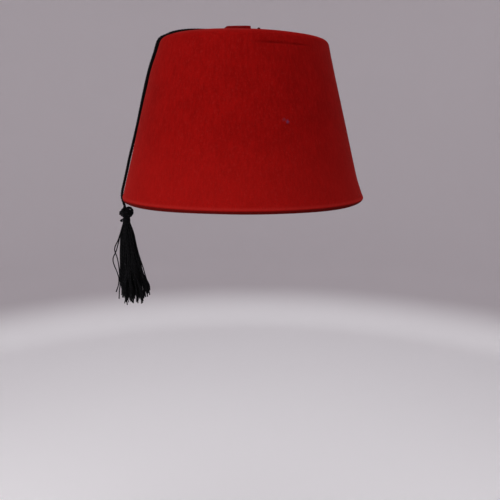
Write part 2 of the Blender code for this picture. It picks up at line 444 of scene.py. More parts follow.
class Yarn:
    """A straight round thread, modelled once, whose copies are laid along any line."""

    def __init__(self, sides: int, rings: int) -> None:
        """Model the straight thread, one long and one in radius, standing on the origin.

        Args:
            sides: The number of flats round the thread.
            rings: The number of lengths that it can bend between.
        """
        self.rings = rings
        choose()
        bpy.ops.mesh.primitive_cylinder_add(
            vertices=sides,
            radius=1.0,
            depth=1.0,
            end_fill_type="NGON",
            calc_uvs=True,
            location=(0.0, 0.0, 0.5),
        )
        self.item = bpy.context.view_layer.objects.active
        bpy.ops.object.transform_apply(location=True, rotation=True, scale=True)
        left = rings
        for step in (100, 10):
            while left % step == 0:
                self._cut(step)
                left //= step
        if left > 1:
            self._cut(left)
        bpy.ops.object.shade_smooth_by_angle(angle=math.radians(60.0))
        self.item.hide_render = True

    def _cut(self, parts: int) -> None:
        """Cut every length of the thread into equal parts.

        Args:
            parts: How many parts each length becomes.
        """
        heights = read_points(self.item)[:, 2][edge_ends(self.item)]
        select_edges(self.item, np.abs(heights[:, 0] - heights[:, 1]) > 1e-7)
        with editing(self.item):
            bpy.ops.mesh.subdivide(number_cuts=parts - 1)

    def lay(self, name: str, line: Line, radius: float | np.ndarray) -> Piece:
        """Copy the thread and bend the copy along a line.

        Args:
            name: The name of the copy.
            line: The points that the thread's middle follows.
            radius: The thread's radius, or one for each ring from start to end.

        Returns:
            The bent thread, whose UV map holds the turn round it and the metres along it.
        """
        even = even_line(line, count=self.rings + 1)
        across, aside = carried_frames(even)
        laid = self.item.copy()
        laid.data = self.item.data.copy()
        laid.name = name
        laid.hide_render = False
        bpy.context.scene.collection.objects.link(laid)
        straight = read_points(laid)
        ring = np.rint(straight[:, 2] * self.rings).astype(int)
        wide = np.broadcast_to(np.asarray(radius, float), (self.rings + 1,))[ring, None]
        out = straight[:, :1] * across[ring] + straight[:, 1:2] * aside[ring]
        write_points(laid, even[ring] + wide * out)
        corners = np.zeros(len(laid.data.loops), int)
        laid.data.loops.foreach_get("vertex_index", corners)
        chart = np.zeros(len(corners) * 2)
        laid.data.uv_layers[0].data.foreach_get("uv", chart)
        chart = chart.reshape(-1, 2)
        chart[:, 1] = straight[corners, 2] * line_length(even)
        laid.data.uv_layers[0].data.foreach_set("uv", chart.ravel())
        return laid

    def discard(self) -> None:
        """Remove the straight thread once its copies are laid."""
        bpy.data.objects.remove(self.item, do_unlink=True)


def twist(
    yarn: Yarn,
    name: str,
    line: Line,
    diameter: float | np.ndarray,
    plies: int,
    pitch: float,
) -> list[Piece]:
    """Twist plies together along a line.

    Args:
        yarn: The thread to copy for each ply.
        name: The name of the copies.
        line: The middle line, evenly spaced.
        diameter: The width across the twisted plies, or one for each point of the line.
        plies: How many there are.
        pitch: The length of one turn.

    Returns:
        The plies, one object each.
    """
    wide = np.broadcast_to(np.asarray(diameter, float), (len(line),)) / 2
    places = np.linspace(0.0, 1.0, yarn.rings + 1)
    at_rings = np.interp(places, np.linspace(0.0, 1.0, len(line)), wide)
    laid = []
    for ply in range(plies):
        wound = spiral_line(line, wide[:, None] * (1.0 - PLY_SHARE), pitch, math.tau * ply / plies)
        laid.append(yarn.lay(name, wound, at_rings * PLY_SHARE))
    return laid


class Weave:
    """The node tree of one material, with short calls to add and link its nodes."""

    def __init__(self, name: str) -> None:
        """Start a material with a Principled shader.

        Args:
            name: The material's name.
        """
        self.material = bpy.data.materials.new(name)
        self.material.use_nodes = True
        self.tree = self.material.node_tree
        self.shader = self.tree.nodes["Principled BSDF"]

    def add(self, kind: str, **settings: object) -> bpy.types.Node:
        """Add a node.

        Args:
            kind: The node's type name, without its ShaderNode prefix.
            settings: The node's own properties.

        Returns:
            The new node.
        """
        node = self.tree.nodes.new("ShaderNode" + kind)
        for name, value in settings.items():
            setattr(node, name, value)
        return node

    def feed(self, target: Socket, value: object) -> None:
        """Link an output to an input, or set the input to a number or a colour.

        Args:
            target: The input.
            value: An output, a number or a colour.
        """
        if isinstance(value, Socket):
            self.tree.links.new(value, target)
        else:
            target.default_value = value

    def shade(self, values: dict[str, object]) -> Material:
        """Feed the shader's own inputs.

        Args:
            values: What each input gets, by the input's name.

        Returns:
            The finished material.
        """
        for name, value in values.items():
            self.feed(self.shader.inputs[name], value)
        return self.material

    def split(self, vector: Socket) -> Sequence[Socket]:
        """Separate a vector.

        Args:
            vector: The vector's output.

        Returns:
            The outputs for x, y and z.
        """
        node = self.add("SeparateXYZ")
        self.feed(node.inputs["Vector"], vector)
        return node.outputs

    def noise(self, place: Socket, scale: float, detail: float, rise: float = 1.0) -> Socket:
        """Add a noise pattern.

        Args:
            place: The coordinates it reads.
            scale: Its scale, in cells for each metre.
            detail: How many finer layers it has.
            rise: What the height is multiplied by first; under 1 it draws the cells out upright.

        Returns:
            The pattern's output, from 0 to 1.
        """
        mapping = self.add("Mapping")
        mapping.inputs["Scale"].default_value = (1.0, 1.0, rise)
        self.feed(mapping.inputs["Vector"], place)
        noise = self.add("TexNoise")
        noise.inputs["Scale"].default_value = scale
        noise.inputs["Detail"].default_value = detail
        self.feed(noise.inputs["Vector"], mapping.outputs["Vector"])
        return noise.outputs["Fac"]

    def ranged(
        self, value: Socket, low: tuple[float, float], high: tuple[float, float]
    ) -> Socket:
        """Map a value smoothly from one range to another.

        Args:
            value: The value to map.
            low: A value, and what it becomes.
            high: Another value, and what it becomes.

        Returns:
            The mapped value's output.
        """
        node = self.add("MapRange", interpolation_type="SMOOTHSTEP")
        for name, number in zip(("From Min", "To Min", "From Max", "To Max"), (*low, *high)):
            node.inputs[name].default_value = number
        self.feed(node.inputs["Value"], value)
        return node.outputs["Result"]

    def figure(self, operation: str, *values: object) -> Socket:
        """Work out one figure from others.

        Args:
            operation: The Math node's operation.
            values: Numbers or outputs.

        Returns:
            The result's output.
        """
        node = self.add("Math", operation=operation)
        for socket, value in zip(node.inputs, values):
            self.feed(socket, value)
        return node.outputs["Value"]

    def weighed(self, *pairs: tuple[Socket, float]) -> Socket:
        """Add up patterns, each multiplied by its weight.

        Args:
            pairs: Each pattern's output and its weight.

        Returns:
            The sum's output.
        """
        total = self.figure("MULTIPLY", *pairs[0])
        for pair in pairs[1:]:
            total = self.figure("ADD", total, self.figure("MULTIPLY", *pair))
        return total

    def mixed(self, share: object, first: object, second: object) -> Socket:
        """Mix two colours.

        Args:
            share: The second colour's share, a number or an output.
            first: A colour or an output.
            second: A colour or an output.

        Returns:
            The mixed colour's output.
        """
        node = self.add("Mix", data_type="RGBA")
        for index, value in zip((0, 6, 7), (share, first, second)):
            self.feed(node.inputs[index], value)
        return node.outputs[2]

    def bumped(self, height: Socket, strength: float, distance: float) -> Socket:
        """Turn a height into a normal.

        Args:
            height: The pattern's output.
            strength: The bump's strength, from 0 to 1.
            distance: How high a full step of the pattern is, in metres.

        Returns:
            The normal's output.
        """
        bump = self.add("Bump")
        bump.inputs["Strength"].default_value = strength
        bump.inputs["Distance"].default_value = distance
        self.feed(bump.inputs["Height"], height)
        return bump.outputs["Normal"]


class SoftMark(NamedTuple):
    """A small soft mark on the felt, such as a speck of lint or the painted shadow under one: its middle,
    its reach, its colour and how much of it shows.
    """

    place: Place
    reach: float
    colour: Colour
    share: float


@dataclass(frozen=True)
class FeltFinish:
    """Pressed wool felt: brushed fibre streaks, soft mottling and specks of lint, with painted fibre
    glints, a painted highlight on the lip, painted shade under it, in the creases and under a speck, and
    painted light low down.
    """

    name: str = "felt_wool"
    red: Colour = (0.226, 0.0030, 0.0026, 1.0)
    deep: Colour = (0.180, 0.0022, 0.0019, 1.0)
    # Pale fibre colour: painted glints of the fibres.
    fibre_glint: Colour = (0.262, 0.0110, 0.0095, 1.0)
    # Painted light: the felt is lighter towards its lower side, where more light falls.
    painted_low_light: Colour = (0.305, 0.0075, 0.0060, 1.0)
    # Painted highlight along the lip, where its slight bulge catches the light.
    lip_highlight: Colour = (0.300, 0.0150, 0.0130, 1.0)
    # Painted shade along the rim's lower edge, which turns under and faces down.
    rim_shade: Colour = (0.068, 0.0030, 0.0024, 1.0)
    # Painted shade in the narrow creases.
    crease_shade: Colour = (0.110, 0.0014, 0.0012, 1.0)
    streak_scale: float = 620.0
    streak_rise: float = 0.10
    mottle_scale: float = 55.0
    grain_scale: float = 1900.0
    grain_rise: float = 0.6
    # The noise pattern of the painted fibre glints.
    glint_scale: float = 1150.0
    glint_rise: float = 0.45
    tone_weights: tuple[float, float, float] = (0.50, 0.32, 0.18)
    tone_range: tuple[float, float] = (0.36, 0.64)
    glint_range: tuple[float, float] = (0.52, 0.74)
    glint_share: float = 0.42
    relief_weights: tuple[float, float] = (0.6, 0.4)
    bump_strength: float = 0.55
    bump_height: float = 0.00035
    # Specks of lint, and the painted shadow under one of them.
    specks_and_shadow: tuple[SoftMark, ...] = ()
    mark_core: float = 0.25
    mark_raggedness: float = 0.0026
    # Heights over which the painted shade along the rim's lower edge fades out.
    rim_shade_band: tuple[float, float] = (-0.0006, 0.0006)
    # Heights where the painted highlight along the lip rises, peaks and fades.
    lip_highlight_band: tuple[float, float, float] = (0.0000, 0.0009, 0.0028)
    lip_highlight_share: float = 0.45
    front_turn: float = 0.021
    # Heights over which the painted light on the lower side fades out.
    painted_low_light_band: tuple[float, float] = (0.0040, 0.0640)
    painted_low_light_share: float = 0.36
    smooth: float = 0.88
    coarse: float = 1.0
    sheen: float = 0.042
    sheen_roughness: float = 0.40
    sheen_tint: Colour = (1.0, 0.30, 0.26, 1.0)
    gloss: float = 0.01

    def make(self) -> Material:
        """Build the material's nodes.

        Returns:
            The finished material.
        """
        weave = Weave(self.name)
        place = weave.add("TexCoord").outputs["Object"]
        streaks = weave.noise(place, self.streak_scale, 3.0, self.streak_rise)
        mottle = weave.noise(place, self.mottle_scale, 4.0)
        grain = weave.noise(place, self.grain_scale, 2.0, self.grain_rise)
        glint_noise = weave.noise(place, self.glint_scale, 3.0, self.glint_rise)
        tone = weave.weighed(*zip((streaks, mottle, grain), self.tone_weights))
        low, high = self.tone_range
        colour = weave.mixed(weave.ranged(tone, (low, 0.0), (high, 1.0)), self.deep, self.red)
        _, across, height = weave.split(place)
        # Painted light: lighter towards the lower side of the crown.
        low, high = self.painted_low_light_band
        low_light_mask = weave.ranged(height, (low, self.painted_low_light_share), (high, 0.0))
        colour = weave.mixed(low_light_mask, colour, self.painted_low_light)
        # Pale fibre specks on a noise pattern: painted glints of the fibres.
        low, high = self.glint_range
        glint_mask = weave.ranged(glint_noise, (low, 0.0), (high, self.glint_share))
        colour = weave.mixed(glint_mask, colour, self.fibre_glint)
        # Painted shade in the narrow creases, read from the crown's point layer.
        crease = weave.add("Attribute", attribute_type="GEOMETRY", attribute_name=CREASE_SHADE_LAYER)
        colour = weave.mixed(crease.outputs["Fac"], colour, self.crease_shade)
        # Painted highlight along the lip and painted shade along the rim's lower edge.
        colour = self.edge(weave, weave.weighed((across, self.front_turn), (height, 1.0)), colour)
        # Specks of lint and the painted shadow under one of them.
        colour = self.marks(weave, place, grain, colour)
        relief = weave.weighed(*zip((streaks, grain), self.relief_weights))
        return weave.shade({
            "Base Color": colour,
            "Roughness": weave.ranged(grain, (NOISE_LOW, self.smooth), (NOISE_HIGH, self.coarse)),
            "Normal": weave.bumped(relief, self.bump_strength, self.bump_height),
            "Sheen Weight": self.sheen,
            "Sheen Roughness": self.sheen_roughness,
            "Sheen Tint": self.sheen_tint,
            "Specular IOR Level": self.gloss,
        })

    def edge(self, weave: Weave, height: Socket, colour: Socket) -> Socket:
        """Lay a painted highlight along the lip and painted shade along the rim's lower edge under it.

        Args:
            weave: The material's node tree.
            height: The height over the cut edge, which is turned a little towards the front.
            colour: The felt's colour so far.

        Returns:
            The colour with the two bands.
        """
        # Painted highlight: a paler band along the lip.
        low, middle, high = self.lip_highlight_band
        rising = weave.ranged(height, (low, 0.0), (middle, 1.0))
        falling = weave.ranged(height, (middle, 1.0), (high, 0.0))
        band = weave.figure("MULTIPLY", rising, falling)
        colour = weave.mixed(weave.figure("MULTIPLY", band, self.lip_highlight_share), colour, self.lip_highlight)
        # Painted shade: a dark band along the rim's lower edge.
        low, high = self.rim_shade_band
        return weave.mixed(weave.ranged(height, (low, 1.0), (high, 0.0)), colour, self.rim_shade)

    def marks(self, weave: Weave, place: Socket, grain: Socket, colour: Socket) -> Socket:
        """Lay the specks of lint, and the painted shadow under one of them, on the felt, with ragged
        outlines.

        Args:
            weave: The material's node tree.
            place: The felt's coordinates.
            grain: The fine pattern that frays the outlines.
            colour: The felt's colour so far.

        Returns:
            The colour with the specks.
        """
        for mark in self.specks_and_shadow:
            away = weave.add("VectorMath", operation="DISTANCE")
            weave.feed(away.inputs[1], mark.place)
            weave.feed(away.inputs[0], place)
            frayed = (weave.figure("SUBTRACT", grain, 0.5), self.mark_raggedness)
            ragged = weave.weighed((away.outputs["Value"], 1.0), frayed)
            core = (mark.reach * self.mark_core, mark.share)
            colour = weave.mixed(weave.ranged(ragged, core, (mark.reach, 0.0)), colour, mark.colour)
        return colour


@dataclass(frozen=True)
class ThreadFinish:
    """Twisted thread: slanting plies in the UV map's turns, painted lighter on their crests, with a low
    silky sheen.
    """

    name: str
    colour: Colour
    # Lighter colour for the plies' crests: painted light, broken up by a fuzz noise.
    light: Colour
    plies: int = 2
    pitch: float = 0.0032
    fuzz_scale: float = 2600.0
    fuzz_rise: float = 0.5
    fuzz_relief: float = 0.3
    bump_strength: float = 0.7
    bump_height: float = 0.00012
    smooth: float = 0.62
    coarse: float = 0.78
    sheen: float = 0.03
    sheen_roughness: float = 0.4
    gloss: float = 0.06

    def make(self) -> Material:
        """Build the material's nodes.

        Returns:
            The finished material.
        """
        weave = Weave(self.name)
        coordinates = weave.add("TexCoord").outputs
        around, along, _ = weave.split(coordinates["UV"])
        turns = weave.weighed((around, float(self.plies)), (along, 1.0 / self.pitch))
        swing = weave.figure("SINE", weave.figure("MULTIPLY", turns, math.tau))
        wave = weave.figure("MULTIPLY", weave.figure("ADD", swing, 1.0), 0.5)
        fuzz = weave.noise(coordinates["Object"], self.fuzz_scale, 2.0, self.fuzz_rise)
        relief = weave.weighed((wave, 1.0), (fuzz, self.fuzz_relief))
        return weave.shade({
            # Painted light: lighter on the plies' crests, darker in the grooves between them.
            "Base Color": weave.mixed(weave.figure("MULTIPLY", wave, fuzz), self.colour, self.light),
            "Roughness": weave.ranged(fuzz, (NOISE_LOW, self.smooth), (NOISE_HIGH, self.coarse)),
            "Normal": weave.bumped(relief, self.bump_strength, self.bump_height),
            "Sheen Weight": self.sheen,
            "Sheen Roughness": self.sheen_roughness,
            "Specular IOR Level": self.gloss,
        })


@dataclass(frozen=True)
class StudioFinish:
    """Matt studio card, with a very faint unevenness, pale on the floor and greyer on the wall."""

    name: str = "studio_card"
    floor: Colour = (0.97, 0.965, 0.98, 1.0)
    wall: Colour = (0.480, 0.444, 0.468, 1.0)
    blend_from: float = 0.004
    blend_to: float = 0.09
    cloud_scale: float = 3.0
    cloud_share: float = 0.04
    roughness: float = 0.9
    gloss: float = 0.1

    def make(self) -> Material:
        """Build the material's nodes.

        Returns:
            The finished material.
        """
        weave = Weave(self.name)
        place = weave.add("TexCoord").outputs["Object"]
        height = weave.split(place)[2]
        foot, top = FLOOR_HEIGHT + self.blend_from, FLOOR_HEIGHT + self.blend_to
        up = weave.ranged(height, (foot, 0.0), (top, 1.0))
        cloud = weave.noise(place, self.cloud_scale, 3.0)
        share = weave.weighed((up, 1.0), (cloud, self.cloud_share))
        return weave.shade({
            "Base Color": weave.mixed(share, self.floor, self.wall),
            "Roughness": self.roughness,
            "Specular IOR Level": self.gloss,
        })


@dataclass(frozen=True)
class PhotoView:
    """The camera, at the photograph's place and angle."""

    place: Place = (0.0, -0.450, 0.0578)
    pitch_deg: float = 12.735
    yaw_deg: float = 0.81
    roll_deg: float = 0.186
    lens_mm: float = 41.18
    sensor_mm: float = 36.0

    def build(self) -> Piece:
        """Add the camera and make it the scene's own.

        Returns:
            The camera object.
        """
        pitch, yaw, roll = map(math.radians, (self.pitch_deg, self.yaw_deg, self.roll_deg))
        ahead = Vector((
            math.sin(yaw) * math.cos(pitch),
            math.cos(yaw) * math.cos(pitch),
            -math.sin(pitch),
        ))
        right = Vector((math.cos(yaw), -math.sin(yaw), 0.0))
        up = right.cross(ahead)
        tilted_right = math.cos(roll) * right + math.sin(roll) * up
        tilted_up = math.cos(roll) * up - math.sin(roll) * right
        lens = bpy.data.cameras.new("photo_view")
        lens.lens = self.lens_mm
        lens.sensor_width = self.sensor_mm
        lens.clip_start = 0.01
        lens.dof.use_dof = False
        camera = bpy.data.objects.new("photo_view", lens)
        bpy.context.scene.collection.objects.link(camera)
        turn = Matrix((tilted_right, tilted_up, -ahead)).transposed()
        camera.matrix_world = Matrix.Translation(self.place) @ turn.to_4x4()
        bpy.context.scene.camera = camera
        return camera


@dataclass(frozen=True)
class Lamp:
    """One soft area light."""

    name: str
    place: Place
    size: float
    watts: float
    colour: tuple[float, float, float] = (1.0, 1.0, 1.0)
    target: Place = (0.0, 0.0, 0.04)

    def build(self) -> Piece:
        """Add the light, turned to its target and hidden from the camera.

        Returns:
            The light object.
        """
        data = bpy.data.lights.new(self.name, "AREA")
        data.shape = "DISK"
        data.size = self.size
        data.energy = self.watts
        data.color = self.colour
        lamp = bpy.data.objects.new(self.name, data)
        bpy.context.scene.collection.objects.link(lamp)
        lamp.location = self.place
        away = Vector(self.place) - Vector(self.target)
        lamp.rotation_euler = away.to_track_quat("Z", "Y").to_euler()
        lamp.visible_camera = False
        return lamp


@dataclass
class Studio:
    """A round card bowl: pale floor, curved foot and grey wall, with soft lights inside it."""

    finish: StudioFinish = StudioFinish()
    wall_radius: float = 1.10
    foot_radius: float = 0.16
    wall_top: float = 1.30
    segments: int = 96
    foot_steps: int = 12
    floor_shares: tuple[float, ...] = (0.25, 0.5, 0.75, 1.0)
    air_colour: Colour = (0.92, 0.90, 0.95, 1.0)
    air_strength: float = 0.45
    lamps: tuple[Lamp, ...] = (
        Lamp("key_lamp", (-0.80, -0.58, 0.08), 0.70, 5.25, (1.0, 0.985, 0.97)),
        Lamp("top_lamp", (0.05, -0.20, 1.00), 1.00, 6.8),
        Lamp("fill_lamp", (0.60, -0.70, 0.20), 0.80, 0.66, (0.96, 0.97, 1.0)),
        Lamp("low_lamp", (-0.06, -0.42, -0.20), 0.30, 0.38, (1.0, 0.99, 0.98)),
    )

    def profile(self) -> list[tuple[float, float]]:
        """List the bowl's rings from the middle of the floor to the wall's top.

        Returns:
            The radius and the height of each ring.
        """
        foot = self.wall_radius - self.foot_radius
        rings = [(foot * share, FLOOR_HEIGHT) for share in self.floor_shares]
        for step in range(1, self.foot_steps + 1):
            angle = math.pi / 2 * step / self.foot_steps
            radius = foot + self.foot_radius * math.sin(angle)
            rings.append((radius, FLOOR_HEIGHT + self.foot_radius * (1.0 - math.cos(angle))))
        return rings + [(self.wall_radius, self.wall_top)]

    def build(self) -> Piece:
        """Model the bowl, light it and mark it as stage.

        Returns:
            The bowl.
        """
        profile = self.profile()
        bowl = first_ring("studio_bowl", self.segments, "NGON", profile[0])
        select_edges(bowl, np.ones(len(bowl.data.edges), bool))
        with editing(bowl):
            raise_rings(profile)
            bpy.ops.mesh.select_all(action="SELECT")
            bpy.ops.mesh.normals_make_consistent(inside=True)
        bpy.ops.object.shade_smooth()
        bowl.data.materials.append(self.finish.make())
        for lamp in self.lamps:
            lamp.build()
        look = bpy.context.scene.view_settings
        look.view_transform = "Standard"
        look.look = "None"
        world = bpy.data.worlds.new("studio_air")
        world.use_nodes = True
        air = world.node_tree.nodes["Background"]
        air.inputs["Color"].default_value = self.air_colour
        air.inputs["Strength"].default_value = self.air_strength
        bpy.context.scene.world = world
        return bowl


class Station(NamedTuple):
    """A point of the crown's outer profile, with the outward direction there."""

    radius: float
    height: float
    out_radial: float
    out_up: float


@dataclass
class Crown:
    """The felt wall: straight tapering side, round shoulder, low dome and flared cut lip."""

    lip_radius: float
    material: Material
    felt_thickness: float = 0.0024
    side_radius_at_top: float = 0.0630
    side_hollow: float = 0.0004
    shoulder_height: float = 0.1152
    shoulder_round: float = 0.0050
    dome_rise: float = 0.0065
    lip_height: float = 0.0100
    lip_flare: float = 0.0010
    bead_height: float = 0.0018
    bead_width: float = 0.0011
    bead_rise: float = 0.00012
    edge_round: float = 0.0007
    edge_slope: float = 0.0010
    edge_height: float = 0.0013
    edge_inner_share: float = 0.5
    edge_inner_steps: int = 4
    edge_outer_steps: int = 6
    flare_power: float = 3.2
    fullness: float = 0.00035
    fullness_band: tuple[float, float] = (0.97, 0.10)
    cord_azimuth_deg: float = 192.0
    cord_reach_deg: float = 30.0
    cord_share: float = 0.5
    segments: int = 288
    lip_steps: int = 16
    side_steps: int = 52
    crease_rows_from: float = 0.1036
    crease_steps: int = 22
    narrow_crease: float = 0.014
    # How strong the painted shade in the narrow creases gets.
    crease_shade_share: float = 0.50
    shoulder_steps: int = 12
    dome_steps: int = 24
    pole_share: float = 0.02
    inner_steps: int = 3
    creases: tuple[Crease, ...] = (
        Crease(-72.0, 22.0, 0.928, 0.036, 0.10),
        Crease(-72.0, 15.0, 0.9300, 0.0130, 0.27),
        Crease(-57.0, 14.0, 0.9275, 0.0110, 0.19),
        Crease(186.0, 18.0, 0.965, 0.150, 0.85),
        Crease(181.0, 7.5, 0.000, 0.050, 0.25),
        Crease(192.0, 13.0, 0.000, 0.060, 0.34),
        Crease(200.0, 15.0, 0.955, 0.130, 0.46),
        Crease(194.0, 26.0, 1.010, 0.060, 0.62),
        Crease(187.0, 20.0, 0.890, 0.130, 0.60),
        Crease(188.0, 16.0, 0.740, 0.150, 0.14),
        Crease(190.0, 16.0, 0.975, 0.070, 0.60),
        Crease(-6.0, 32.0, 0.985, 0.110, -0.18),
        Crease(-4.0, 42.0, 0.030, 0.120, -0.36),
        Crease(-8.0, 50.0, 0.500, 0.450, -0.07),
    )
    sag_height: float = 0.030
    sags: tuple[Sag, ...] = (
        Sag(-80.0, 30.0, 0.0002),
        Sag(-142.0, 50.0, 0.0011),
        Sag(-40.0, 42.0, 0.0010),
    )
    lift_azimuth_deg: float = 212.0
    lift_reach_deg: float = 62.0
    lift_growing: tuple[float, float] = (0.020, 0.044)
    lift_fading: tuple[float, float] = (0.0535, 0.0625)
    lift_loss: float = 0.8
    lift_levels: tuple[float, float] = (0.104, 0.114)
    lift_height: float = 0.0010
    ripples: tuple[tuple[int, float, float, float], ...] = (
        (2, 0.9, 0.7, 0.00014),
        (3, 2.1, 1.6, 0.00012),
        (5, 4.4, 2.4, 0.00008),
        (9, 0.4, 3.7, 0.00005),
    )

    def __post_init__(self) -> None:
        """Work out the arc of the shoulder and the dome from the driving sizes."""
        centre = self.shoulder_height - self.shoulder_round
        self.shoulder_z = centre
        self.slope_at_shoulder = self.side_slope(centre)
        self.side_end = centre + self.shoulder_round * math.sin(self.slope_at_shoulder)
        reach = self.shoulder_round * math.cos(self.slope_at_shoulder)
        self.shoulder_r = self.side_radius(self.side_end) - reach
        self.dome_tilt = math.atan2(2.0 * self.dome_rise, self.shoulder_r)
        self.dome_radius = self.shoulder_r + self.shoulder_round * math.sin(self.dome_tilt)
        self.dome_base = centre + self.shoulder_round * math.cos(self.dome_tilt)

    def side_radius(self, height: float) -> float:
        """Give the side's radius, very slightly hollow, at one height.

        Args:
            height: The height above the rim.

        Returns:
            The radius there.
        """
        share = height / self.shoulder_height
        at_rim = self.lip_radius - self.lip_flare
        straight = at_rim + (self.side_radius_at_top - at_rim) * share
        return straight - 4.0 * self.side_hollow * share * (1.0 - share)

    def side_slope(self, height: float) -> float:
        """Give the angle by which the side leans inwards at one height.

        Args:
            height: The height above the rim.

        Returns:
            The angle, in radians.
        """
        share = height / self.shoulder_height
        narrowing = self.lip_radius - self.lip_flare - self.side_radius_at_top
        narrowing += 4.0 * self.side_hollow * (1.0 - 2.0 * share)
        return math.atan2(narrowing, self.shoulder_height)

    def dome_height(self, x: float, y: float) -> float:
        """Give the height of the crown's top over a point of the plan."""
        share = math.hypot(x, y) / self.dome_radius
        return self.dome_base + self.dome_rise * (1.0 - share * share)

    def stations(self) -> list[Station]:
        """List the outer profile from just above the cut edge to the edge of the dome's middle.

        Returns:
            The stations, from the lowest up.
        """
        found = []
        for height in np.linspace(self.edge_height, self.lip_height, self.lip_steps):
            share = height / self.lip_height
            off_bead = (height - self.bead_height) / self.bead_width
            flare = self.lip_flare * (1.0 - share) ** self.flare_power
            radius = self.side_radius(height) + flare + self.bead_rise * math.exp(-(off_bead**2))
            found.append(Station(radius, height, 1.0, 0.0))
        plain = np.linspace(self.lip_height, self.crease_rows_from, self.side_steps)[1:]
        crease_shade = np.linspace(self.crease_rows_from, self.side_end, self.crease_steps)[1:]
        for height in np.concatenate([plain, crease_shade]):
            slope = self.side_slope(height)
            found.append(Station(self.side_radius(height), height, math.cos(slope), math.sin(slope)))
        turn = math.pi / 2 - self.dome_tilt - self.slope_at_shoulder
        for step in range(1, self.shoulder_steps + 1):
            angle = self.slope_at_shoulder + turn * step / self.shoulder_steps
            radial, rise = math.cos(angle), math.sin(angle)
            radius = self.shoulder_r + self.shoulder_round * radial
            found.append(Station(radius, self.shoulder_z + self.shoulder_round * rise, radial, rise))
        for share in np.linspace(1.0, self.pole_share, self.dome_steps)[1:]:
            tilt = math.atan2(2.0 * self.dome_rise * share, self.dome_radius)
            radius = share * self.dome_radius
            found.append(Station(radius, self.dome_height(radius, 0.0), math.sin(tilt), math.cos(tilt)))
        return found

    def profile(self) -> list[tuple[float, float]]:
        """Run the wall's whole section from the inside's middle round the edge to the top's.

        Returns:
            The radius and the height of each ring.
        """
        outer = self.stations()
        wall = self.felt_thickness
        inside = [(s.radius - wall * s.out_radial, s.height - wall * s.out_up) for s in outer]
        kept = inside[:: self.inner_steps]
        if kept[-1] != inside[-1]:
            kept.append(inside[-1])
        edge = []
        for step in range(1, self.edge_inner_steps + 1):
            angle = math.pi / 2 * step / self.edge_inner_steps
            edge.append((
                outer[0].radius - wall + self.edge_round * (1.0 - math.cos(angle)),
                self.edge_height * (1.0 - math.sin(angle)) * self.edge_inner_share,
            ))
        for step in range(self.edge_outer_steps):
            angle = math.pi / 2 * step / self.edge_outer_steps
            edge.append((
                outer[0].radius - self.edge_slope * (1.0 - math.sin(angle)),
                self.edge_height * (1.0 - math.cos(angle)),
            ))
        return kept[::-1] + edge + [(s.radius, s.height) for s in outer]

    def press(self, points: np.ndarray) -> np.ndarray:
        """Press the creases and the felt's slow ripples into the turned wall.

        Args:
            points: The turned wall's points.

        Returns:
            The points, moved in or out from the axis.
        """
        azimuth = np.arctan2(points[:, 1], points[:, 0])
        height = points[:, 2] / self.shoulder_height
        inwards = np.zeros(len(points))
        for crease in self.creases:
            inwards += crease.depth_share * self.felt_thickness * self.crease_window(points, crease)
        for turns, phase, climb, size in self.ripples:
            inwards += size * np.sin(turns * azimuth + phase + climb * height * math.pi)
        top, fade = self.fullness_band
        by_cord = self.turn_window(azimuth, self.cord_azimuth_deg, self.cord_reach_deg)
        full = np.clip((top - height) / fade, 0.0, 1.0) * (1.0 - self.cord_share * by_cord)
        inwards -= self.fullness * full
        moved = points.copy()
        moved[:, 0] -= inwards * np.cos(azimuth)
        moved[:, 1] -= inwards * np.sin(azimuth)
        low = np.clip(1.0 - points[:, 2] / self.sag_height, 0.0, 1.0) ** 2
        for sag in self.sags:
            moved[:, 2] -= sag.drop * low * self.turn_window(azimuth, sag.azimuth_deg, sag.reach_deg)
        moved[:, 2] += self.lift(points)
        return moved

    def turn_window(self, azimuth: np.ndarray, middle_deg: float, reach_deg: float) -> np.ndarray:
        """Give a smooth share, from 1 at an azimuth down to 0 at its reach on both sides.

        Args:
            azimuth: The azimuths, in radians.
            middle_deg: Where the share is 1.
            reach_deg: How far away it is 0.

        Returns:
            The share for each azimuth.
        """
        turn = (np.degrees(azimuth) - middle_deg + 180.0) % 360.0 - 180.0
        return window(turn / reach_deg)

    def crease_window(self, points: np.ndarray, crease: Crease) -> np.ndarray:
        """Give how deep in a crease each point lies.

        Args:
            points: The turned wall's points.
            crease: The crease.

        Returns:
            A share for each point, from 0 outside the crease to 1 in its middle.
        """
        azimuth = np.arctan2(points[:, 1], points[:, 0])
        across = (points[:, 2] / self.shoulder_height - crease.height_share) / crease.half_width_share
        return window(across) * self.turn_window(azimuth, crease.azimuth_deg, crease.reach_deg)

    def mark_creases(self, crown: Piece) -> None:
        """Store how deep each point lies in the narrow creases, as painted shade in the felt's colour.

        Args:
            crown: The turned wall, before it is pressed.
        """
        points = read_points(crown)
        depth = np.zeros(len(points))
        for crease in self.creases:
            if crease.half_width_share < self.narrow_crease:
                depth = np.maximum(depth, self.crease_window(points, crease))
        layer = crown.data.attributes.new(CREASE_SHADE_LAYER, "FLOAT", "POINT")
        layer.data.foreach_set("value", self.crease_shade_share * depth)

    def lift(self, points: np.ndarray) -> np.ndarray:
        """Give the rise of the top's fuller edge, on the side where the cord leaves it.

        Args:
            points: Points on or near the crown.

        Returns:
            How much higher each point lies.
        """
        radius = np.hypot(points[:, 0], points[:, 1])
        azimuth = np.arctan2(points[:, 1], points[:, 0])
        share = eased(ramp(radius, *self.lift_growing)) * ramp(points[:, 2], *self.lift_levels)
        share *= 1.0 - self.lift_loss * eased(ramp(radius, *self.lift_fading))
        share *= self.turn_window(azimuth, self.lift_azimuth_deg, self.lift_reach_deg)
        return self.lift_height * share

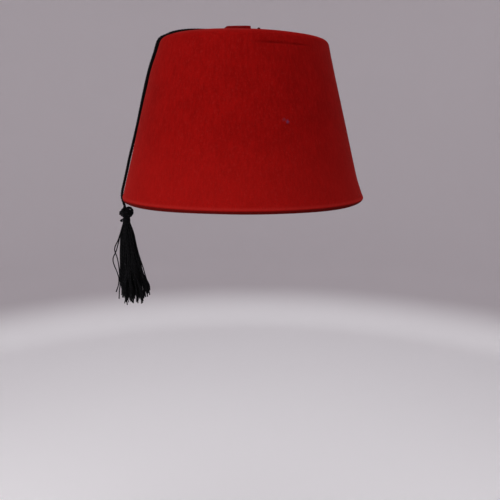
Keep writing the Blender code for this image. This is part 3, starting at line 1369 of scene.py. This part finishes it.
    def build(self) -> Piece:
        """Turn the wall ring by ring, close its two poles and press its creases.

        Returns:
            The crown, standing for its CAD node.
        """
        profile = self.profile()
        crown = first_ring("felt_crown", self.segments, "TRIFAN", profile[0])
        far = np.linalg.norm(read_points(crown)[:, :2], axis=1) > profile[0][0] / 2
        select_edges(crown, far[edge_ends(crown)].all(axis=1))
        with editing(crown):
            raise_rings(profile)
            bpy.ops.mesh.extrude_edges_move(TRANSFORM_OT_translate={"value": (0.0, 0.0, 0.0)})
            bpy.ops.mesh.merge(type="CENTER")
            bpy.ops.mesh.select_all(action="SELECT")
            bpy.ops.mesh.normals_make_consistent(inside=False)
        self.mark_creases(crown)
        write_points(crown, self.press(read_points(crown)))
        bpy.ops.object.shade_smooth()
        return dress(crown, self.material, "crown")


@dataclass
class TopTab:
    """The felt strip that holds the cord down, arched over it and stitched at both ends."""

    crown: Crown
    felt: Material
    thread: Material
    middle_x: float = -0.0037
    width: float = 0.0200
    length: float = 0.0300
    thickness: float = 0.0018
    left_slant: float = 0.0026
    arch_reach: float = 0.0085
    arch_flatness: float = 1.8
    cord_diameter: float = 0.0020
    columns: int = 30
    rows: int = 46
    edge_round: float = 0.00045
    edge_segments: int = 3
    edge_angle_deg: float = 50.0
    stitch_count: int = 6
    stitch_inset: float = 0.0028
    stitch_span: float = 0.86
    stitch_radius: float = 0.00022
    stitch_reach: Place = (0.0011, 0.0002, 0.00075)
    stitch_sink: float = 0.0005

    def underside(self, x: float, y: float) -> float:
        """Give the height of the tab's lower face: flat on the felt, arched over the cord.

        Args:
            x: The place to the right of the crown's axis.
            y: The place behind it.

        Returns:
            The height there.
        """
        away = min(1.0, abs(y) / self.arch_reach)
        share = (1.0 + math.cos(math.pi * away)) / 2.0
        rise = (self.cord_diameter + SEAT_GAP) * min(1.0, self.arch_flatness * share)
        return self.crown.dome_height(x, y) + SEAT_GAP + rise

    def build(self) -> list[Piece]:
        """Model the strip and its stitches.

        Returns:
            The strip and the stitches.
        """
        choose()
        bpy.ops.mesh.primitive_grid_add(x_subdivisions=self.columns, y_subdivisions=self.rows, size=1.0)
        tab = bpy.context.view_layer.objects.active
        tab.name = "felt_tab"
        with editing(tab):
            bpy.ops.mesh.select_all(action="SELECT")
            bpy.ops.transform.resize(value=(self.width, self.length, 1.0), center_override=(0.0, 0.0, 0.0))
            bpy.ops.transform.translate(value=(self.middle_x, 0.0, 0.0))
            bpy.ops.mesh.extrude_region_move(
                TRANSFORM_OT_translate={"value": (0.0, 0.0, self.thickness)}
            )
            bpy.ops.mesh.select_all(action="SELECT")
            bpy.ops.mesh.normals_make_consistent(inside=False)
        points = read_points(tab)
        upper = points[:, 2] > self.thickness / 2
        share = (points[:, 0] - self.middle_x) / self.width + 0.5
        points[:, 2] += [self.underside(x, y) for x, y in points[:, :2]]
        points[upper, 0] += self.left_slant * (1.0 - share[upper])
        write_points(tab, points)
        bevel = tab.modifiers.new("soft_edge", "BEVEL")
        bevel.width = self.edge_round
        bevel.segments = self.edge_segments
        bevel.limit_method = "ANGLE"
        bevel.angle_limit = math.radians(self.edge_angle_deg)
        apply_modifiers(tab)
        bpy.ops.object.shade_smooth_by_angle(angle=math.radians(self.edge_angle_deg))
        return [dress(tab, self.felt, "top_tab"), self.stitches()]

    def stitches(self) -> Piece:
        """Sew a row of short stitches across each end of the strip.

        Returns:
            All the stitches, joined.
        """
        yarn = Yarn(sides=6, rings=8)
        turn = np.linspace(0.0, math.pi, 12)
        bow = np.stack([np.cos(turn), np.cos(turn), np.sin(turn)], axis=1) * self.stitch_reach
        laid = []
        for side in (-1.0, 1.0):
            y = side * (self.length / 2 - self.stitch_inset)
            for index in range(self.stitch_count):
                share = (index + 0.5) / self.stitch_count - 0.5
                x = self.middle_x + self.width * share * self.stitch_span
                foot = (x, y, self.underside(x, y) + self.thickness - self.stitch_sink)
                laid.append(yarn.lay("stitch", bow + foot, self.stitch_radius))
        yarn.discard()
        return dress(join("tab_stitches", laid), self.thread)


@dataclass
class Cord:
    """The twisted cord, from the stop knot on the top to the middle of the tassel."""

    crown: Crown
    material: Material
    diameter: float = 0.0020
    fluff: tuple[tuple[float, float], ...] = (
        (-0.040, 1.10),
        (0.000, 1.15),
        (0.050, 1.20),
        (0.066, 1.42),
        (0.112, 1.50),
        (0.120, 1.30),
    )
    lift_share: float = 1.35
    lift_spread: float = 1.08
    ease: tuple[tuple[float, float], ...] = (
        (0.050, 0.0),
        (0.080, 0.0005),
        (0.114, 0.0005),
        (0.1205, 0.0),
    )
    plies: int = 3
    pitch: float = 0.0068
    ring_spacing: float = 0.00042
    knot_x: float = 0.0124
    knot_rise: float = 0.0016
    knot_lobe: float = 0.00050
    knot_depth: float = 1.35
    knot_thread: float = 0.00148
    knot_pitch: float = 0.00544
    tail_diameter: float = 0.0018
    tail: tuple[Place, ...] = (
        (0.0006, 0.0004, -0.0002),
        (0.0024, 0.0009, -0.0003),
        (0.0038, 0.0013, -0.0006),
        (0.0046, 0.0019, -0.00075),
    )

    def line(self) -> Line:
        """Give the cord's middle line, finely spaced and carried on the top's fuller edge.

        Returns:
            One row of x, y and z for each point.
        """
        line = smooth_line(CORD_ROUTE + CORD_IN_TASSEL, self.ring_spacing)
        spread = line * (self.lift_spread, self.lift_spread, 1.0)
        line[:, 2] += self.lift_share * self.crown.lift(spread)
        line[:, 0] += np.interp(line[:, 2], *zip(*self.ease))
        return line

    def build(self) -> Piece:
        """Twist three plies along the route.

        Returns:
            The cord, standing for its CAD tube.
        """
        yarn = Yarn(sides=8, rings=600)
        line = self.line()
        wide = self.diameter * np.interp(line[:, 2], *zip(*self.fluff))
        laid = twist(yarn, "ply", line, wide, self.plies, self.pitch)
        yarn.discard()
        return dress(join("twisted_cord", laid), self.material, "tassel_cord")

    def build_stop_knot(self) -> Piece:
        """Tie the small knot that stops the cord on the top, with its short tail.

        Returns:
            The knot, standing for its CAD ball.
        """
        turn = np.linspace(0.0, math.tau, 160)
        trefoil = self.knot_lobe * np.stack([
            np.sin(turn) + 2.0 * np.sin(2.0 * turn),
            -self.knot_depth * np.sin(3.0 * turn),
            2.0 * np.cos(2.0 * turn) - np.cos(turn),
        ], axis=1)
        floor = self.crown.dome_height(self.knot_x, 0.0) + SEAT_GAP
        middle = np.array([self.knot_x, 0.0, floor + self.knot_rise])
        tail = smooth_line(middle + self.tail, self.ring_spacing)
        yarn = Yarn(sides=8, rings=100)
        parts = twist(yarn, "loop", middle + trefoil, self.knot_thread, self.plies, self.knot_pitch)
        parts += twist(yarn, "tail", tail, self.tail_diameter, self.plies, self.knot_pitch)
        yarn.discard()
        return dress(join("stop_knot", parts), self.material, "cord_stop_knot")

    def declare(self) -> None:
        """Work out the cord's middle line, and do nothing more with it.
        """
        line = self.line()


@dataclass
class Tassel:
    """The tassel: a tied knot, a bound neck and a skirt of loose twisted threads."""

    material: Material
    knot_middle: Place = (-0.0919, 0.0, -0.0142)
    knot_spacing: float = 0.0004
    knot_plies: int = 3
    strands: tuple[Strand, ...] = (
        Strand("knot_body", 0.0031, 0.0080, (
            (-0.7, 0.2, 4.3), (-2.2, -2.3, 2.4), (-4.1, -0.7, 0.2), (-2.6, 2.2, -1.6),
            (1.4, 2.6, -0.9), (3.5, 0.7, 0.4), (2.4, -1.8, 1.8), (-0.4, -2.7, 1.2),
            (-1.4, -2.6, -1.3), (0.6, -1.7, -2.8), (1.5, 1.0, -2.6), (0.2, 1.0, -4.6),
        )),
        Strand("knot_second", 0.0028, 0.0080, (
            (0.6, 0.6, 3.8), (2.4, -1.2, 2.6), (3.6, -0.6, 0.2), (1.6, -2.2, -0.6),
            (-1.8, -2.0, 0.4), (-3.2, 0.4, 0.6), (-1.2, 2.4, 0.8), (1.6, 2.2, 1.8),
            (2.2, 0.2, -1.2), (0.4, -0.6, -3.8),
        )),
        Strand("knot_loop", 0.0021, 0.0064, (
            (-0.6, -0.8, 2.2), (0.5, -1.2, 3.8), (2.6, -1.0, 4.9), (4.6, -0.6, 3.4),
            (5.0, -0.4, 0.8), (3.6, -0.6, -1.6), (1.4, -0.8, -3.0),
        )),
    )
    neck_radius: float = 0.0023
    neck_top: float = -0.0172
    neck_sink: float = 0.0022
    neck_share: float = 0.85
    coil_turns: float = 8.0
    coil_clear: float = 0.00045
    coil_from: float = 0.0008
    coil_height: float = 0.0036
    coil_thread: float = 0.00031
    nub_thread: float = 0.00078
    nub_mm: tuple[Place, ...] = (
        (-2.0, -0.6, -5.2),
        (-3.1, -0.9, -4.9),
        (-4.1, -1.0, -5.4),
        (-3.9, -0.9, -6.1),
        (-3.4, -0.9, -5.8),
    )
    skirt_top: float = -0.0203
    skirt_length: float = 0.0672
    skirt_width: float = 0.0250
    skirt_depth: float = 0.0180
    skirt_lean: float = 0.0056
    skirt_clear: float = 0.0005
    thread_radius: float = 0.00040
    thread_play: tuple[float, float] = (0.85, 1.1)
    thread_rings: int = 26
    thread_spacing: float = 0.0008
    thread_flare: float = 1.15
    flare_from: float = 0.95
    reach_play: float = 0.020
    turn_play: float = 0.8
    start_play: tuple[float, float] = (0.02, 0.92)
    settling: tuple[float, float] = (0.28, 0.82)
    wave_play: tuple[float, float] = (0.00015, 0.00060)
    wave_turns: tuple[float, float] = (1.5, 4.0)
    wave_depth: float = 0.8
    end_from: float = 0.80
    end_drift: float = 0.0006
    deep_spread: float = 2.2
    end_taper: float = 0.030
    stray_loosening: tuple[float, float] = (20.0, 32.0)
    stray_shift: float = 0.00068
    stray_wobble: float = 0.00022
    stray_wobble_step: float = 1.7
    stray_shortening: float = 0.0035
    seed: int = 7
    sections: tuple[SkirtSection, ...] = (
        SkirtSection(0.000, 0.20, 0.00),
        SkirtSection(0.058, 0.24, 0.02),
        SkirtSection(0.118, 0.34, 0.09),
        SkirtSection(0.177, 0.42, 0.14),
        SkirtSection(0.278, 0.48, 0.23),
        SkirtSection(0.381, 0.56, 0.33),
        SkirtSection(0.482, 0.63, 0.43),
        SkirtSection(0.585, 0.71, 0.54),
        SkirtSection(0.689, 0.79, 0.69),
        SkirtSection(0.793, 0.90, 0.94),
        SkirtSection(0.899, 0.95, 1.01),
        SkirtSection(1.000, 0.95, 1.00),
    )
    tufts: tuple[Tuft, ...] = (
        Tuft(-0.0118, 0.0002, 0.0006, 0.905, 6),
        Tuft(-0.0100, -0.0024, 0.0006, 0.940, 6),
        Tuft(-0.0075, -0.0048, 0.0006, 0.985, 14),
        Tuft(-0.0071, 0.0036, 0.0006, 0.996, 14),
        Tuft(-0.0052, 0.0060, 0.0004, 0.930, 4),
        Tuft(-0.0029, -0.0062, 0.0006, 0.968, 14),
        Tuft(-0.0025, 0.0016, 0.0006, 0.978, 13),
        Tuft(-0.0007, 0.0068, 0.0004, 0.935, 5),
        Tuft(0.0013, -0.0040, 0.0006, 0.976, 14),
        Tuft(0.0017, 0.0050, 0.0006, 0.966, 13),
        Tuft(0.0053, -0.0058, 0.0006, 0.974, 14),
        Tuft(0.0057, 0.0024, 0.0006, 0.964, 14),
        Tuft(0.0077, 0.0056, 0.0004, 0.915, 5),
        Tuft(0.0099, -0.0030, 0.0005, 0.912, 9),
        Tuft(0.0103, 0.0030, 0.0005, 0.898, 7),
    )
    strays: tuple[Stray, ...] = (
        Stray(-0.0020, 1, (
            (-1.5, -19.0), (-2.5, -21.5), (-4.1, -26.8), (-5.8, -32.2), (-7.2, -36.0), (-9.1, -39.4),
            (-10.2, -42.4), (-9.9, -45.2), (-8.9, -47.9), (-8.2, -50.7), (-7.7, -54.1), (-7.3, -58.9),
            (-7.2, -65.2), (-7.1, -72.2), (-8.0, -77.8), (-8.5, -84.2),
        )),
        Stray(-0.0032, 1, (
            (-1.5, -19.0), (-2.4, -22.2), (-4.2, -28.2), (-5.5, -32.9), (-6.3, -36.3), (-7.5, -40.4),
            (-8.6, -43.8), (-9.8, -46.5), (-11.3, -49.3), (-11.6, -52.4), (-10.7, -56.2), (-9.4, -59.6),
            (-8.3, -63.1), (-7.6, -67.3), (-8.2, -72.2), (-10.3, -78.0),
        )),
        Stray(0.0002, 6, (
            (-1.5, -19.0), (-2.3, -21.5), (-3.0, -25.5), (-3.8, -29.5), (-4.3, -33.6), (-4.7, -39.0),
            (-4.9, -45.9), (-5.2, -51.3), (-5.7, -56.9), (-5.9, -63.1), (-5.8, -70.1), (-5.3, -75.7),
            (-4.8, -80.7), (-4.8, -85.3),
        )),
        Stray(-0.0008, 3, (
            (1.5, -19.0), (2.6, -21.5), (3.9, -25.5), (5.1, -30.9), (6.4, -37.7), (7.8, -44.5),
            (9.2, -51.3), (10.9, -56.9), (12.4, -61.7), (13.5, -66.6), (14.7, -70.8), (15.9, -74.6),
        )),
    )

    def skirt_form(self, share: np.ndarray) -> tuple[np.ndarray, np.ndarray]:
        """Read the skirt's form.

        Args:
            share: Shares of the skirt's length, from its top.

        Returns:
            The shares of its width and of its lean there.
        """
        drops, widths, leans = zip(*self.sections)
        return np.interp(share, drops, widths), np.interp(share, drops, leans)

    def build_knot(self) -> Piece:
        """Tie the big knot, with the thin loop that stands out on its right.

        Returns:
            The knot.
        """
        yarn = Yarn(sides=8, rings=100)
        parts = []
        for strand in self.strands:
            line = smooth_line(self.placed(strand.route_mm), self.knot_spacing)
            parts += twist(yarn, strand.name, line, strand.width, self.knot_plies, strand.pitch)
        yarn.discard()
        return self.finish("tassel_knot", parts)

    def placed(self, route_mm: Sequence[Place]) -> Line:
        """Place a route that is given in millimetres from the knot's middle."""
        return MM * np.array(route_mm) + np.array(self.knot_middle)

    def build_neck(self) -> Piece:
        """Wind the binding thread round the neck, and leave its knotted end on the left.

        Returns:
            The binding.
        """
        x, y, _ = self.knot_middle
        share = np.linspace(0.0, 1.0, 400)
        angle = math.tau * self.coil_turns * share
        wide = self.neck_radius + self.coil_clear
        coil = np.stack([
            x + wide * np.cos(angle),
            y + wide * np.sin(angle),
            self.neck_top - self.coil_from - self.coil_height * share,
        ], axis=1)
        nub = smooth_line(self.placed(self.nub_mm), self.knot_spacing / 2)
        coil_yarn = Yarn(sides=6, rings=300)
        nub_yarn = Yarn(sides=8, rings=30)
        parts = [
            coil_yarn.lay("coil", coil, self.coil_thread),
            nub_yarn.lay("nub", nub, self.nub_thread),
        ]
        coil_yarn.discard()
        nub_yarn.discard()
        return self.finish("tassel_binding", parts)

    def build_skirt(self) -> Piece:
        """Hang the loose threads from the neck down to their tufts.

        Returns:
            All the threads, joined.
        """
        chance = np.random.default_rng(self.seed)
        yarn = Yarn(sides=6, rings=self.thread_rings)
        lines = []
        for tuft in self.tufts:
            for _ in range(tuft.threads):
                reach = tuft.reach + chance.normal(0.0, self.reach_play)
                lines.append(self.thread_line(tuft, reach, chance))
        in_tufts = len(lines)
        for stray in self.strays:
            lines += [self.stray_line(stray, chance) for _ in range(stray.threads)]
        places = np.linspace(0.0, 1.0, self.thread_rings + 1)
        flare = np.interp(places, (self.flare_from, 1.0), (1.0, self.thread_flare))
        low, high = self.thread_play
        laid = []
        for index, line in enumerate(lines):
            thickness = chance.uniform(low, high) if index < in_tufts else high
            laid.append(yarn.lay("thread", line, self.thread_radius * thickness * flare))
        yarn.discard()
        return self.finish("tassel_skirt", laid)

    def stray_line(self, stray: Stray, chance: np.random.Generator) -> Line:
        """Work out the line of a thread that hangs apart.

        Args:
            stray: The thread's route.
            chance: The source of its small differences.

        Returns:
            The thread's points.
        """
        apart = float(stray.threads > 1)
        shift = chance.normal(0.0, self.stray_shift, 2) * apart
        phase = chance.uniform(0.0, math.tau)
        x, z = np.array(stray.route_mm).T
        loose = ramp(-z, *self.stray_loosening)
        wobble = np.sin(np.arange(len(x)) * self.stray_wobble_step + phase)
        aside = shift[0] + self.stray_wobble * apart * wobble
        route = np.stack([
            self.knot_middle[0] + MM * x + aside * loose,
            stray.y * loose + shift[1] * 2.0,
            MM * z,
        ], axis=1)
        route[-1, 2] += self.stray_shortening * abs(math.sin(phase)) * apart
        return smooth_line(route, self.thread_spacing)

    def thread_line(self, tuft: Tuft, reach: float, chance: np.random.Generator) -> Line:
        """Work out one loose thread's line.

        Args:
            tuft: The tuft that the thread ends in.
            reach: The share of the skirt's length at which it ends.
            chance: The source of its small differences.

        Returns:
            The thread's points, from inside the neck to its end.
        """
        half = np.array([self.skirt_width / 2, self.skirt_depth / 2])
        end = np.array([
            tuft.x + chance.normal(0.0, tuft.spread),
            tuft.y + chance.normal(0.0, tuft.spread * self.deep_spread),
        ]) / half
        aside = abs(end[0] - tuft.x / half[0]) * half[0] / tuft.spread
        share = np.linspace(0.0, reach, 40) * (1.0 - self.end_taper * min(2.0, aside))
        width, lean = self.skirt_form(share)
        angle = math.atan2(end[1], end[0]) + chance.normal(0.0, self.turn_play)
        away = math.sqrt(chance.uniform(*self.start_play))
        start = np.array([math.cos(angle), math.sin(angle)]) * away
        settled = eased(ramp(share, *self.settling))
        spot = start + (end / self.sections[-1].width - start) * settled[:, None]
        wave = chance.uniform(*self.wave_play) * share
        turn = math.tau * chance.uniform(*self.wave_turns) * share
        phase = chance.uniform(0.0, math.tau, 2)
        drift = ramp(share, self.end_from, 1.0) ** 2
        line = np.stack([
            self.knot_middle[0] + self.skirt_lean * lean + wave * np.sin(turn + phase[0]),
            wave * np.sin(turn * self.wave_depth + phase[1]),
            self.skirt_top - share * self.skirt_length,
        ], axis=1)
        for axis in range(2):
            line[:, axis] += spot[:, axis] * width * (half[axis] - self.skirt_clear)
            line[:, axis] += chance.normal(0.0, self.end_drift) * drift
        inner = self.neck_radius * self.neck_share
        neck = np.array([self.knot_middle[0] + start[0] * inner, start[1] * inner, self.neck_top])
        sunk = neck - (0.0, 0.0, self.neck_sink)
        return smooth_line(np.vstack([neck, sunk, line[1:]]), self.thread_spacing)

    def finish(self, name: str, parts: Sequence[Piece]) -> Piece:
        """Join a piece's parts and dress it as part of the tassel."""
        return dress(join(name, parts), self.material, "tassel")

    def build(self) -> list[Piece]:
        """Make the whole tassel: its knot, its binding and its skirt."""
        return [self.build_knot(), self.build_neck(), self.build_skirt()]


def report(items: Sequence[Piece]) -> None:
    """Log each piece's name and number of triangles.

    Args:
        items: The finished pieces.
    """
    for item in items:
        triangles = sum(len(face.vertices) - 2 for face in item.data.polygons)
        LOG.info("%s: %d triangles", item.name, triangles)


def main() -> None:
    """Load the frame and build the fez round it."""
    logging.basicConfig(level=logging.INFO, format="%(name)s: %(message)s")
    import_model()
    PhotoView().build()
    black = ThreadFinish(
        "thread_black_twist",
        colour=(0.0008, 0.0008, 0.0012, 1.0),
        light=(0.0042, 0.0040, 0.0054, 1.0),
    ).make()
    red_thread = ThreadFinish(
        "thread_red_twist",
        colour=(0.120, 0.004, 0.004, 1.0),
        light=(0.210, 0.010, 0.009, 1.0),
        pitch=0.0012,
    ).make()
    felt = FeltFinish(specks_and_shadow=(
        SoftMark((0.0272, -0.0727, 0.0587), 0.0017, (0.150, 0.020, 0.032, 1.0), 0.55),
        SoftMark((0.0294, -0.0722, 0.0574), 0.0017, (0.112, 0.026, 0.062, 1.0), 0.95),
        # Painted shadow just under the second speck of lint.
        SoftMark((0.0293, -0.0727, 0.0556), 0.0014, (0.110, 0.002, 0.001, 1.0), 0.55),
    )).make()
    # A darker copy of the felt for the tab: painted shade, since the tab's faces sit in shade.
    shaded_tab_felt = FeltFinish(
        name="felt_tab_shaded",
        red=(0.150, 0.0026, 0.0028, 1.0),
        deep=(0.100, 0.0016, 0.0018, 1.0),
        fibre_glint=(0.190, 0.0070, 0.0065, 1.0),
    ).make()
    crown = Crown(lip_radius=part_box("crown")[1].y, material=felt)
    cord = Cord(crown, black)
    rope = cord.build()
    knot = cord.build_stop_knot()
    tassel = Tassel(black).build()
    cord.declare()
    report([rope, knot, *tassel])
    report([crown.build()])
    report(TopTab(crown, shaded_tab_felt, red_thread).build())
    Studio().build()


if __name__ == "__main__":
    main()
